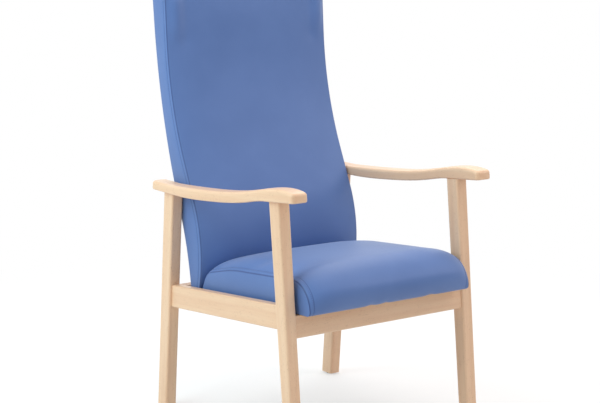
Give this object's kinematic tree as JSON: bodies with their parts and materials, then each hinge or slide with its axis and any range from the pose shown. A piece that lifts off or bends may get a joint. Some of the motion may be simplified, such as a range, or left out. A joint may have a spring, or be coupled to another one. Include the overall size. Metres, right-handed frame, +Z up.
{
  "type": "high-back chair",
  "caption": "High-back armchair with a pale beech frame, curved wooden arms, and an S-curved back and sloping seat cushion in blue vinyl.",
  "frame": {"origin": "on the floor under the middle of the chair's box", "axes": "+Z up; the sitter faces -Y; +X to the right of someone who stands before the chair. Left and right in names are as seen from the front."},
  "size_m": [0.608, 0.727, 1.1279],
  "materials": {
    "beech": "clear satin lacquer",
    "plywood": "bare",
    "vinyl": "satin, fine grain",
    "foam": "open cell",
    "webbing": "woven",
    "lining": "matt, non-woven",
    "steel": "zinc plated",
    "glide": "matt"
  },
  "bodies": {
    "root": {"front_leg_left": "beech", "front_leg_right": "beech", "rear_leg_left": "beech", "rear_leg_right": "beech", "side_rail_left": "beech", "side_rail_right": "beech", "front_rail": "beech", "rear_rail": "beech", "armrest_left": "beech", "armrest_right": "beech", "corner_block_front_left": "beech", "corner_block_front_right": "beech", "corner_block_rear_left": "beech", "corner_block_rear_right": "beech", "seat_cleat_left": "beech", "seat_cleat_right": "beech", "rail_dowels": "beech", "arm_dowels": "beech", "back_dowels": "beech", "seat_board": "plywood", "back_stile_left": "plywood", "back_stile_right": "plywood", "back_top_rail": "plywood", "back_lumbar_rail": "plywood", "back_bottom_rail": "plywood", "seat_cover": "vinyl", "seat_side_panel_left": "vinyl", "seat_side_panel_right": "vinyl", "back_cover": "vinyl", "back_rear_cover": "vinyl", "back_side_panel_left": "vinyl", "back_side_panel_right": "vinyl", "seat_foam": "foam", "back_foam": "foam", "back_webbing": "webbing", "seat_dust_cover": "lining", "corner_block_screws": "steel", "seat_cleat_screws": "steel", "seat_board_screws": "steel", "back_bolts": "steel", "back_washers": "steel", "back_inserts": "steel", "back_spacers": "steel", "foot_glide_front_left": "glide", "foot_glide_front_right": "glide", "foot_glide_rear_left": "glide", "foot_glide_rear_right": "glide"}
  },
  "joints": []
}
